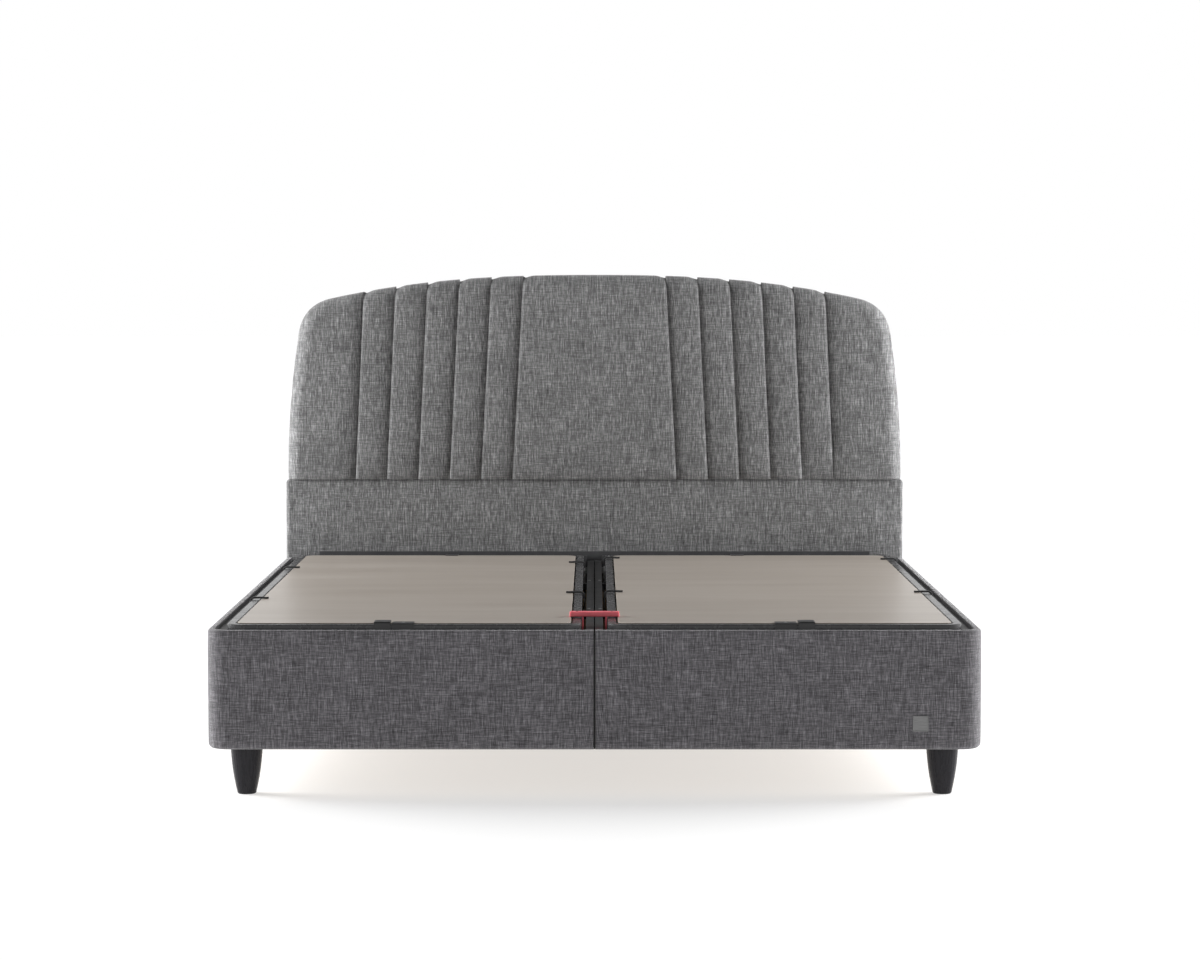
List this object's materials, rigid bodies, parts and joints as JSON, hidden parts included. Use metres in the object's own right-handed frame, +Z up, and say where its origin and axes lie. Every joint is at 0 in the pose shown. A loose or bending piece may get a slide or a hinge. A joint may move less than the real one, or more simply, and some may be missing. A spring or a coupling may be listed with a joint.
{
  "type": "split storage bed base",
  "caption": "Upholstered double storage bed base in two half boxes with coupled lift-up lids on gas struts, tapered legs and a channelled padded headboard.",
  "frame": {"origin": "on the floor under the middle of the bed's bounding box", "axes": "+Y from the foot to the headboard, +Z up, +X to the right as seen from the foot"},
  "size_m": [1.7, 2.1165, 1.148],
  "materials": {
    "grey_fabric": "heathered grey linen-look weave, matt",
    "corner_fabric": "heathered grey linen-look weave, matt",
    "headboard_fabric": "heathered grey linen-look weave over padding, matt",
    "raw_board": "plain particle board, matt",
    "lid_laminate": "grey-beige wood-grain melamine, satin",
    "case_steel": "black powder coat, satin",
    "lid_steel": "black powder coat, satin",
    "zinc_steel": "zinc plated steel",
    "rod_steel": "polished chromed rod",
    "cylinder_paint": "black paint, satin",
    "black_lacquer": "black lacquer, satin",
    "red_plastic": "red moulded plastic, satin",
    "badge_metal": "plain brushed plate"
  },
  "bodies": {
    "base": {"centre_board_left": "raw_board", "centre_board_right": "raw_board", "centre_rail_left": "case_steel", "centre_rail_right": "case_steel", "corner_post_left": "corner_fabric", "corner_post_right": "corner_fabric", "foot_panel_left": "grey_fabric", "foot_panel_right": "grey_fabric", "foot_rail_left": "case_steel", "foot_rail_right": "case_steel", "head_board_left": "raw_board", "head_board_right": "raw_board", "head_rail_left": "case_steel", "head_rail_right": "case_steel", "headboard_core": "raw_board", "headboard_lower_pad": "headboard_fabric", "headboard_upper_pad": "headboard_fabric", "hinge_bracket_inner_left": "zinc_steel", "hinge_bracket_inner_right": "zinc_steel", "hinge_bracket_outer_left": "zinc_steel", "hinge_bracket_outer_right": "zinc_steel", "leg_centre_left": "black_lacquer", "leg_centre_right": "black_lacquer", "leg_foot_left": "black_lacquer", "leg_foot_right": "black_lacquer", "leg_head_left": "black_lacquer", "leg_head_right": "black_lacquer", "outer_rail_left": "case_steel", "outer_rail_right": "case_steel", "plain_badge": "badge_metal", "side_panel_left": "grey_fabric", "side_panel_right": "grey_fabric", "storage_floor_left": "raw_board", "storage_floor_right": "raw_board"},
    "lid_left": {"foot_clip_left": "lid_steel", "lid_board_left": "lid_laminate", "lid_cross_bar_left_1": "lid_steel", "lid_cross_bar_left_2": "lid_steel", "lid_foot_tube_left": "lid_steel", "lid_head_tube_left": "lid_steel", "lid_inner_tube_left": "lid_steel", "lid_outer_tube_left": "lid_steel", "red_grip": "red_plastic"},
    "lid_right": {"foot_clip_right": "lid_steel", "lid_board_right": "lid_laminate", "lid_cross_bar_right_1": "lid_steel", "lid_cross_bar_right_2": "lid_steel", "lid_foot_tube_right": "lid_steel", "lid_head_tube_right": "lid_steel", "lid_inner_tube_right": "lid_steel", "lid_outer_tube_right": "lid_steel"},
    "strut_cylinder_outer_left": {"strut_cylinder_outer_left": "cylinder_paint"},
    "strut_rod_outer_left": {"strut_rod_outer_left": "rod_steel"},
    "strut_cylinder_inner_left": {"strut_cylinder_inner_left": "cylinder_paint"},
    "strut_rod_inner_left": {"strut_rod_inner_left": "rod_steel"},
    "strut_cylinder_outer_right": {"strut_cylinder_outer_right": "cylinder_paint"},
    "strut_rod_outer_right": {"strut_rod_outer_right": "rod_steel"},
    "strut_cylinder_inner_right": {"strut_cylinder_inner_right": "cylinder_paint"},
    "strut_rod_inner_right": {"strut_rod_inner_right": "rod_steel"}
  },
  "joints": [
    {"name": "lid_left_hinge", "type": "hinge", "parent": "base", "child": "lid_left", "pos_m": [0, 0.91225, 0.34], "axis": [-1, 0, 0], "range_deg": [0, 45]},
    {"name": "lid_right_hinge", "type": "hinge", "parent": "base", "child": "lid_right", "pos_m": [0, 0.91225, 0.34], "axis": [-1, 0, 0], "range_deg": [0, 45]},
    {"name": "strut_outer_left_pivot", "type": "hinge", "parent": "base", "child": "strut_cylinder_outer_left", "pos_m": [-0.7997, 0.91225, 0.23], "axis": [-1, 0, 0], "range_deg": [0, 40]},
    {"name": "strut_outer_left_slide", "type": "slide", "parent": "strut_cylinder_outer_left", "child": "strut_rod_outer_left", "axis": [0, -0.97, 0.2431], "range_m": [0, 0.0715]},
    {"name": "strut_inner_left_pivot", "type": "hinge", "parent": "base", "child": "strut_cylinder_inner_left", "pos_m": [-0.03925, 0.91225, 0.23], "axis": [-1, 0, 0], "range_deg": [0, 40]},
    {"name": "strut_inner_left_slide", "type": "slide", "parent": "strut_cylinder_inner_left", "child": "strut_rod_inner_left", "axis": [0, -0.97, 0.2431], "range_m": [0, 0.0715]},
    {"name": "strut_outer_right_pivot", "type": "hinge", "parent": "base", "child": "strut_cylinder_outer_right", "pos_m": [0.7997, 0.91225, 0.23], "axis": [-1, 0, 0], "range_deg": [0, 40]},
    {"name": "strut_outer_right_slide", "type": "slide", "parent": "strut_cylinder_outer_right", "child": "strut_rod_outer_right", "axis": [0, -0.97, 0.2431], "range_m": [0, 0.0715]},
    {"name": "strut_inner_right_pivot", "type": "hinge", "parent": "base", "child": "strut_cylinder_inner_right", "pos_m": [0.03925, 0.91225, 0.23], "axis": [-1, 0, 0], "range_deg": [0, 40]},
    {"name": "strut_inner_right_slide", "type": "slide", "parent": "strut_cylinder_inner_right", "child": "strut_rod_inner_right", "axis": [0, -0.97, 0.2431], "range_m": [0, 0.0715]}
  ],
  "couplings": [
    {"joint": "lid_right_hinge", "follows": "lid_left_hinge", "ratio": 1},
    {"joint": "strut_outer_left_pivot", "follows": "lid_left_hinge", "ratio": 0.8798},
    {"joint": "strut_outer_left_slide", "follows": "lid_left_hinge", "m_per_rad": 0.08964},
    {"joint": "strut_inner_left_pivot", "follows": "lid_left_hinge", "ratio": 0.8798},
    {"joint": "strut_inner_left_slide", "follows": "lid_left_hinge", "m_per_rad": 0.08964},
    {"joint": "strut_outer_right_pivot", "follows": "lid_left_hinge", "ratio": 0.8798},
    {"joint": "strut_outer_right_slide", "follows": "lid_left_hinge", "m_per_rad": 0.08964},
    {"joint": "strut_inner_right_pivot", "follows": "lid_left_hinge", "ratio": 0.8798},
    {"joint": "strut_inner_right_slide", "follows": "lid_left_hinge", "m_per_rad": 0.08964}
  ]
}
